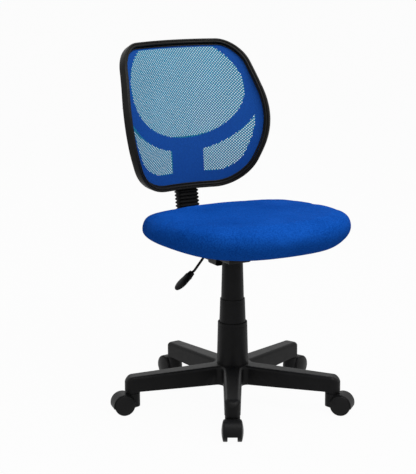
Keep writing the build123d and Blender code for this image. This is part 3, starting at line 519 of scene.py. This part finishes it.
def sheetPlace(s, t):
    point, normal = outline[round(s * len(outline)) % len(outline)]
    edge = acrossRail(point, normal, back["meshGap"], 0).xz - Vector((0, back["bottom"]))
    return onBack(clothCentre + (edge - clothCentre) * t, meshDepth, 0)


wrapGrid(sheetMesh, len(outline), zone["rings"], sheetPlace)
clothArea = sum(face.calc_area() for face in sheetMesh.faces)
for face in sheetMesh.faces:
    face.normal_update()
if sum(face.normal.y for face in sheetMesh.faces) > 0:
    bmesh.ops.reverse_faces(sheetMesh, faces=sheetMesh.faces[:])
uvLayer = sheetMesh.loops.layers.uv.new("cloth")
for face in sheetMesh.faces:
    for loop in face.loops:
        loop[uvLayer].uv = (loop.vert.co.x, loop.vert.co.z - back["bottom"])
meshSheet = finishPiece(
    "meshSheet", sheetMesh, meshFabric, "seat", ["back_mesh"], sharp=60.0, recalc=False)
openLayer = meshSheet.data.attributes.new("openZone", "FLOAT", "POINT")
for vert in meshSheet.data.vertices:
    openLayer.data[vert.index].value = openness(vert.co.x, vert.co.z - back["bottom"])
solid = meshSheet.modifiers.new("thickness", "SOLIDIFY")
solid.thickness = zone["thickness"]
solid.offset = 0
print("back: rail, arms, cord and mesh; cloth area", round(clothArea, 4))

# ribbed boot over the upright
boot = {
    "width": 0.059, "depth": 0.030, "corner": 0.009, "cornerSteps": 6, "ribs": 9, "pitch": 0.0088, "ribDepth": 0.0036,
    "wall": 0.0022, "gap": 0.0003,
}
bootTop = -stem["mouth"] - boot["gap"]
ribWave = (
    (0.0, 0.0), (0.1, 0.25), (0.2, 0.7), (0.32, 0.95), (0.45, 1.0), (0.58, 0.95), (0.7, 0.7), (0.8, 0.25), (0.9, 0.0),
)
bootRun = [(boot["ribs"] * boot["pitch"], -boot["wall"])]
for rib in range(boot["ribs"]):
    bootRun += [((boot["ribs"] - rib - share) * boot["pitch"], crest * boot["ribDepth"]) for share, crest in ribWave]
bootRun += [(0.0, 0.0), (0.0, -boot["wall"])]


def bootPlace(s, t):
    down, grow = bootRun[round(t * len(bootRun)) % len(bootRun)]
    section = roundedSection(
        boot["width"] - 2 * boot["ribDepth"] + 2 * grow, boot["depth"] - 2 * boot["ribDepth"] + 2 * grow,
        boot["corner"] - boot["ribDepth"] + grow, boot["cornerSteps"],
    )
    spot = section[round(s * len(section)) % len(section)]
    return uprightPoint(spot.x, spot.y, bootTop - down)


bootMesh = bmesh.new()
wrapGrid(bootMesh, 4 * (boot["cornerSteps"] + 1), len(bootRun), bootPlace)
finishPiece("ribbedBoot", bootMesh, blackRubber, "seat", ["back_boot"], sharp=70.0)
print("boot ready")

# seat cushion: sections of the foam, blown up under its cover and held down round the board
cushion = {
    "halfWidth": 0.2295, "halfDepth": 0.2302, "y": -0.0698, "sideArc": 0.420, "frontArc": 0.480,
    "frontCorner": 0.178, "rearCorner": 0.106, "under": 0.420, "lip": 0.006, "widest": 0.0265, "height": 0.0618,
    "widestTilt": -4.6, "topTilt": -3.4, "hem": (0.039, 0.002, 0.013), "crown": (0.0155, 0.024, 0.0223), "skin": 0.001,
    "perArc": 12, "turnStep": 15, "voxel": 0.005, "relax": 3, "relaxShare": 0.5, "pressure": 2.0, "quality": 5,
    "frames": 16, "cap": 0.004, "held": 0.004,
}


def seatOutline(inset, frontInset, rearInset):
    halfWidth = cushion["halfWidth"] - inset
    halfDepth = cushion["halfDepth"] - inset - (frontInset + rearInset) / 2
    middle = cushion["y"] + (frontInset - rearInset) / 2
    sideArc, frontArc = cushion["sideArc"] - inset, cushion["frontArc"] - inset
    sideCentre, frontCentre = Vector((halfWidth - sideArc, 0)), Vector((0, halfDepth - frontArc))
    span = frontCentre - sideCentre
    ring = []
    for flipX, flipY in ((1, -1), (1, 1), (-1, 1), (-1, -1)):
        cornerArc = cushion["frontCorner" if flipY < 0 else "rearCorner"] - inset
        reach, other = sideArc - cornerArc, frontArc - cornerArc
        along = (span.length_squared + reach**2 - other**2) / (2 * span.length)
        off = math.sqrt(max(reach**2 - along**2, 0))
        way = span.normalized()
        corner = sideCentre + way * along + Vector((-way.y, way.x)) * off
        sideTurn = math.atan2(*(corner - sideCentre).yx)
        frontTurn = math.atan2(*(corner - frontCentre).yx)
        arcs = (
            (sideCentre, sideArc, 0.0, sideTurn), (corner, cornerArc, sideTurn, frontTurn),
            (frontCentre, frontArc, frontTurn, math.pi / 2),
        )
        quarter = []
        for centre, radius, first, last in arcs:
            for n in range(cushion["perArc"]):
                turn = first + (last - first) * n / cushion["perArc"]
                quarter.append(centre + radius * Vector((math.cos(turn), math.sin(turn))))
        quarter.append(Vector((0, halfDepth)))
        quarter = [Vector((flipX * point.x, flipY * point.y + middle)) for point in quarter]
        ring += quarter[::-1][:-1] if flipX * flipY < 0 else quarter[:-1]
    return ring


def cushionLevels():
    levels = []
    skin, widest, widestTilt = cushion["skin"], cushion["widest"], cushion["widestTilt"]
    for turn in range(0, 90, cushion["turnStep"]):
        full = math.sin(math.radians(turn))
        side, *ends = [size * (1 - full) for size in cushion["hem"]]
        height = skin + (widest - skin) * (1 - math.cos(math.radians(turn)))
        levels.append((seatOutline(skin + side, *ends), height, widestTilt * full))
    rise = cushion["height"] - skin - widest
    for turn in range(0, 91, cushion["turnStep"]):
        share = 1 - math.cos(math.radians(turn))
        side, *ends = [size * share for size in cushion["crown"]]
        height = widest + rise * math.sin(math.radians(turn))
        levels.append((seatOutline(skin + side, *ends), height, widestTilt + (cushion["topTilt"] - widestTilt) * share))
    return levels


def foamForm():
    levels = cushionLevels()

    def place(s, t):
        ring, height, tilt = levels[round(t * (len(levels) - 1))]
        point = ring[round(s * len(ring)) % len(ring)]
        lift = (point.y - cushion["y"]) * math.tan(math.radians(tilt))
        # the hem hangs lower at the front
        ahead = min(max((cushion["y"] - point.y) / cushion["halfDepth"], 0), 1)
        lift -= cushion["lip"] * ahead * max(1 - height / cushion["widest"], 0)
        return Vector((point.x, point.y, cushion["under"] + height + lift))

    mesh = bmesh.new()
    wrapGrid(mesh, len(levels[0][0]), len(levels) - 1, place)
    fillHoles(mesh)
    bmesh.ops.recalc_face_normals(mesh, faces=mesh.faces[:])
    data = bpy.data.meshes.new("foamForm")
    mesh.to_mesh(data)
    mesh.free()
    form = bpy.data.objects.new("foamForm", data)
    scene.collection.objects.link(form)
    remesh = form.modifiers.new("remesh", "REMESH")
    remesh.mode = "VOXEL"
    remesh.voxel_size = cushion["voxel"]
    return form


def bakedMesh(form):
    depsgraph = bpy.context.evaluated_depsgraph_get()
    return bpy.data.meshes.new_from_object(form.evaluated_get(depsgraph), depsgraph=depsgraph)


def relaxForm(data, turns):
    mesh = bmesh.new()
    mesh.from_mesh(data)
    for _ in range(turns):
        bmesh.ops.smooth_vert(
            mesh, verts=mesh.verts[:], factor=cushion["relaxShare"], use_axis_x=True, use_axis_y=True, use_axis_z=True)
    mesh.to_mesh(data)
    mesh.free()


form = foamForm()
remeshed = bakedMesh(form)
form.modifiers.clear()
form.data = remeshed
relaxForm(form.data, cushion["relax"])
before = [vert.co.copy() for vert in form.data.vertices]
heldBelow = cushion["under"] + cushion["held"]
held = form.vertex_groups.new(name="held")
held.add([vert.index for vert in form.data.vertices if vert.co.z < heldBelow], 1.0, "REPLACE")
cloth = form.modifiers.new("cover", "CLOTH")
cloth.settings.use_pressure = True
cloth.settings.uniform_pressure_force = cushion["pressure"]
cloth.settings.effector_weights.gravity = 0
cloth.settings.vertex_group_mass = "held"
cloth.settings.quality = cushion["quality"]
cloth.point_cache.frame_start = 1
cloth.point_cache.frame_end = cushion["frames"]
for step in range(1, cushion["frames"] + 1):
    scene.frame_set(step)
blown = bakedMesh(form)
form.modifiers.clear()
for vert, rest in zip(blown.vertices, before):
    move = vert.co - rest
    if move.length > cushion["cap"]:
        vert.co = rest + move.normalized() * cushion["cap"]
form.data = blown
scene.frame_set(1)
relaxForm(form.data, cushion["relax"])
form.name = "seatCushion"
form.data.materials.clear()
form.data.materials.append(seatFabric)
for face in form.data.polygons:
    face.use_smooth = True
fine = form.modifiers.new("fine", "SUBSURF")
fine.levels = 1
fine.render_levels = 1
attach(form, "seat")
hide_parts("seat_cushion")
print("cushion:", len(form.data.polygons), "faces")

# lever paddle: a collar, a knuckle and a spoon-shaped grip
paddle = {
    "dip": 33.0, "turn": 6.0, "around": 24, "fullness": 1.18, "endDepth": 0.0005,
    "rings": (
        (0.0, 0.0, 0.0), (0.0, 5.6, 5.2), (1.5, 6.4, 6.0), (9.0, 6.8, 6.3), (12.0, 8.6, 7.6), (15.0, 9.6, 7.4),
        (19.0, 10.6, 6.2), (26.0, 12.6, 5.9), (35.0, 13.8, 5.7), (43.0, 13.2, 5.3), (50.0, 10.8, 4.7), (55.0, 7.2, 3.8),
        (57.5, 3.8, 2.4), (58.5, 0.0, 0.0),
    ),
}
collarWay = Vector((-math.cos(math.radians(paddle["dip"])), 0, -math.sin(math.radians(paddle["dip"]))))
moulded = nodes["lever_paddle"]
mouldedSpots = [moulded.matrix_world @ vert.co for vert in moulded.data.vertices]
nearest = min(spot.dot(collarWay) for spot in mouldedSpots)
collarEnd = [spot for spot in mouldedSpots if spot.dot(collarWay) < nearest + paddle["endDepth"]]
paddleStart = sum(collarEnd, Vector()) / len(collarEnd)
paddleDip = math.radians(paddle["dip"] + paddle["turn"])
paddleWay = Vector((-math.cos(paddleDip), 0, -math.sin(paddleDip)))
paddleUp = Vector((-math.sin(paddleDip), 0, math.cos(paddleDip)))


def paddlePlace(s, t):
    along, halfWidth, halfDepth = paddle["rings"][round(t * (len(paddle["rings"]) - 1))]
    turn = 2 * math.pi * s
    across = Vector((0, halfWidth * math.cos(turn), 0)) + paddleUp * halfDepth * math.sin(turn)
    return paddleStart + (paddleWay * along + across * paddle["fullness"]) / perMetre


paddleMesh = bmesh.new()
wrapGrid(paddleMesh, paddle["around"], len(paddle["rings"]) - 1, paddlePlace)
leverPaddle = finishPiece(
    "leverPaddle", paddleMesh, blackPlastic, "lever", ["lever_paddle"], sharp=75.0)
rounded = leverPaddle.modifiers.new("rounded", "SUBSURF")
rounded.levels = 1
rounded.render_levels = 1

# the five legs, counted from 0
legs = {"count": 5, "first": -120.0}


def legDirection(number):
    turn = math.radians(legs["first"] + 360 / legs["count"] * number)
    return Vector((math.cos(turn), math.sin(turn), 0))


# base: the moulded star, its leg ends drawn down to a rounder nose and its underside raised towards the hub
star = {
    "reach": 0.269, "nose": 0.020, "drop": 0.010, "bottom": 0.0555, "top": 0.092, "cuts": 5,
    "stem": 0.2505, "socket": 0.0098, "roof": 0.0885, "lift": 0.0048, "liftFrom": 0.045, "liftTo": 0.232,
    "liftMargin": 0.012, "hubBottom": 0.050,
}
starMesh = bmesh.new()
starMesh.from_mesh(nodes["base_star"].data)
starMesh.transform(nodes["base_star"].matrix_world)
bmesh.ops.remove_doubles(starMesh, verts=starMesh.verts[:], dist=weldGap)
noseStart = star["reach"] - star["nose"]
for number in range(legs["count"]):
    legWay = legDirection(number)
    for cut in range(star["cuts"]):
        spot = legWay * (noseStart + star["nose"] * cut / star["cuts"])
        everything = starMesh.verts[:] + starMesh.edges[:] + starMesh.faces[:]
        bmesh.ops.bisect_plane(starMesh, geom=everything, dist=weldGap, plane_co=spot, plane_no=legWay)
    for vert in starMesh.verts:
        along = vert.co.dot(legWay) - noseStart
        stemGap = math.hypot(*(vert.co - legWay * star["stem"]).xy)
        inSocket = stemGap < star["socket"] and vert.co.z < star["roof"]
        if along > 0 and not inSocket:
            drop = star["drop"] * (along / star["nose"]) ** 2
            vert.co.z -= drop * max(vert.co.z - star["bottom"], 0) / (star["top"] - star["bottom"])
for vert in starMesh.verts:
    radius = math.hypot(vert.co.x, vert.co.y)
    share = (star["liftTo"] - radius) / (star["liftTo"] - star["liftFrom"])
    if 0 < share and radius > star["liftFrom"] - star["liftMargin"]:
        depth = (star["top"] - vert.co.z) / (star["top"] - star["hubBottom"])
        vert.co.z += star["lift"] * min(share, 1) * max(depth, 0)
baseStar = finishPiece("baseStar", starMesh, blackPlastic, "base", ["base_star"], sharp=32.0)
evenShading(baseStar)
print("base ready")

# caster wheels: hollow discs with a domed outer face
wheel = {
    "circle": 0.274, "radius": 0.0245, "inner": 0.0112, "outer": 0.0252, "dome": 0.0032, "edge": 0.0022,
    "rim": 0.0038, "disc": 0.003, "hub": 0.0065, "bore": 0.00306, "chamfer": 0.0012, "domeSteps": 8, "edgeSteps": 4,
    "steps": 72,
}


def wheelProfile():
    shoulder = wheel["outer"] - wheel["dome"]
    reach = wheel["radius"] - wheel["edge"]
    domeRadius = (reach**2 + wheel["dome"] ** 2) / (2 * wheel["dome"])
    web = shoulder - wheel["disc"]
    points = []
    for n in range(wheel["domeSteps"] + 1):
        radius = reach * n / wheel["domeSteps"]
        points.append((radius, wheel["outer"] - domeRadius + math.sqrt(domeRadius**2 - radius**2)))
    for n in range(1, wheel["edgeSteps"] + 1):
        turn = math.radians(90 - 90 * n / wheel["edgeSteps"])
        points.append((reach + wheel["edge"] * math.cos(turn), shoulder - wheel["edge"] * (1 - math.sin(turn))))
    inner, rim = wheel["inner"], wheel["radius"] - wheel["rim"]
    points += [(wheel["radius"], inner + wheel["chamfer"]), (wheel["radius"] - wheel["chamfer"], inner)]
    points += [(rim, inner), (rim, web), (wheel["hub"], web), (wheel["hub"], inner)]
    return points + [(wheel["bore"], inner), (wheel["bore"], web), (0.0, web)]


for number in range(legs["count"]):
    legWay = legDirection(number)
    centre = legWay * wheel["circle"] + Vector((0, 0, wheel["radius"]))
    for side, sign in (("left", 1), ("right", -1)):
        axle = Vector((-legWay.y, legWay.x, 0)) * sign
        wheelMesh = bmesh.new()
        verts = [wheelMesh.verts.new(centre + legWay * radius + axle * along) for radius, along in wheelProfile()]
        edges = [wheelMesh.edges.new(pair) for pair in zip(verts, verts[1:])]
        bmesh.ops.spin(
            wheelMesh, geom=verts + edges, cent=centre, axis=axle, angle=2 * math.pi, steps=wheel["steps"],
            use_merge=True)
        bmesh.ops.remove_doubles(wheelMesh, verts=wheelMesh.verts[:], dist=weldGap)
        name = f"{number + 1}_{side}"
        finishPiece(
            "casterWheel" + name, wheelMesh, wheelPlastic, "wheel_" + name, ["caster_wheel_" + name],
            sharp=40.0)
print("wheels ready")

# floor, studio light and a white surround
stage = {"floorSize": 60.0, "floorWhite": 0.965, "ambient": 0.34, "grey": (0.5, 0.5, 0.5, 1), "white": (1, 1, 1, 1)}
floorMesh = bmesh.new()
bmesh.ops.create_grid(floorMesh, x_segments=1, y_segments=1, size=stage["floorSize"])
floorData = bpy.data.meshes.new("studioFloor")
floorMesh.to_mesh(floorData)
floorMesh.free()
floor = bpy.data.objects.new("studioFloor", floorData)
scene.collection.objects.link(floor)


def seenDirectly(tree):
    path = tree.nodes.new("ShaderNodeLightPath")
    seen = math2(tree, "MAXIMUM", path.outputs["Is Camera Ray"], path.outputs["Is Glossy Ray"])
    return math2(tree, "MAXIMUM", seen, path.outputs["Is Transmission Ray"])


paper = bpy.data.materials.new("studioPaper")
paper.use_nodes = True
paperTree = paper.node_tree
paperTree.nodes.clear()
paperOut = paperTree.nodes.new("ShaderNodeOutputMaterial")
paperMix = paperTree.nodes.new("ShaderNodeMixShader")
paperMatt = addNode(paperTree, "ShaderNodeBsdfDiffuse", Color=stage["grey"])
paperGlow = addNode(paperTree, "ShaderNodeEmission", Color=stage["white"], Strength=1.0)
seen = math2(paperTree, "MULTIPLY", seenDirectly(paperTree), stage["floorWhite"])
paperTree.links.new(seen, paperMix.inputs[0])
paperTree.links.new(paperMatt.outputs[0], paperMix.inputs[1])
paperTree.links.new(paperGlow.outputs[0], paperMix.inputs[2])
paperTree.links.new(paperMix.outputs[0], paperOut.inputs[0])
floorData.materials.append(paper)

world = bpy.data.worlds.new("studioWorld")
scene.world = world
world.use_nodes = True
worldTree = world.node_tree
worldTree.nodes.clear()
worldOut = worldTree.nodes.new("ShaderNodeOutputWorld")
worldMix = worldTree.nodes.new("ShaderNodeMixShader")
worldLight = addNode(worldTree, "ShaderNodeBackground", Color=stage["white"], Strength=stage["ambient"])
worldWhite = addNode(worldTree, "ShaderNodeBackground", Color=stage["white"], Strength=1.0)
worldTree.links.new(seenDirectly(worldTree), worldMix.inputs[0])
worldTree.links.new(worldLight.outputs[0], worldMix.inputs[1])
worldTree.links.new(worldWhite.outputs[0], worldMix.inputs[2])
worldTree.links.new(worldMix.outputs[0], worldOut.inputs[0])


# each lamp's place, aim, size and power
lamps = {
    "keyLamp": ((0.3, -1.5, 3.1), (0, 0, 0.5), 2.2, 73.0),
    "fillLamp": ((-2.4, -2.0, 1.4), (0, 0, 0.5), 2.0, 5.0),
    "backLamp": ((0.8, 2.6, 2.4), (0, 0.1, 0.6), 1.8, 12.0),
}


def softLamp(name, place, aim, size, power):
    data = bpy.data.lights.new(name, "AREA")
    data.shape = "DISK"
    data.size = size
    data.energy = power
    lamp = bpy.data.objects.new(name, data)
    scene.collection.objects.link(lamp)
    lamp.location = place
    lamp.rotation_euler = (Vector(aim) - Vector(place)).to_track_quat("-Z", "Y").to_euler()


for name, setting in lamps.items():
    softLamp(name, *setting)
print("studio ready")
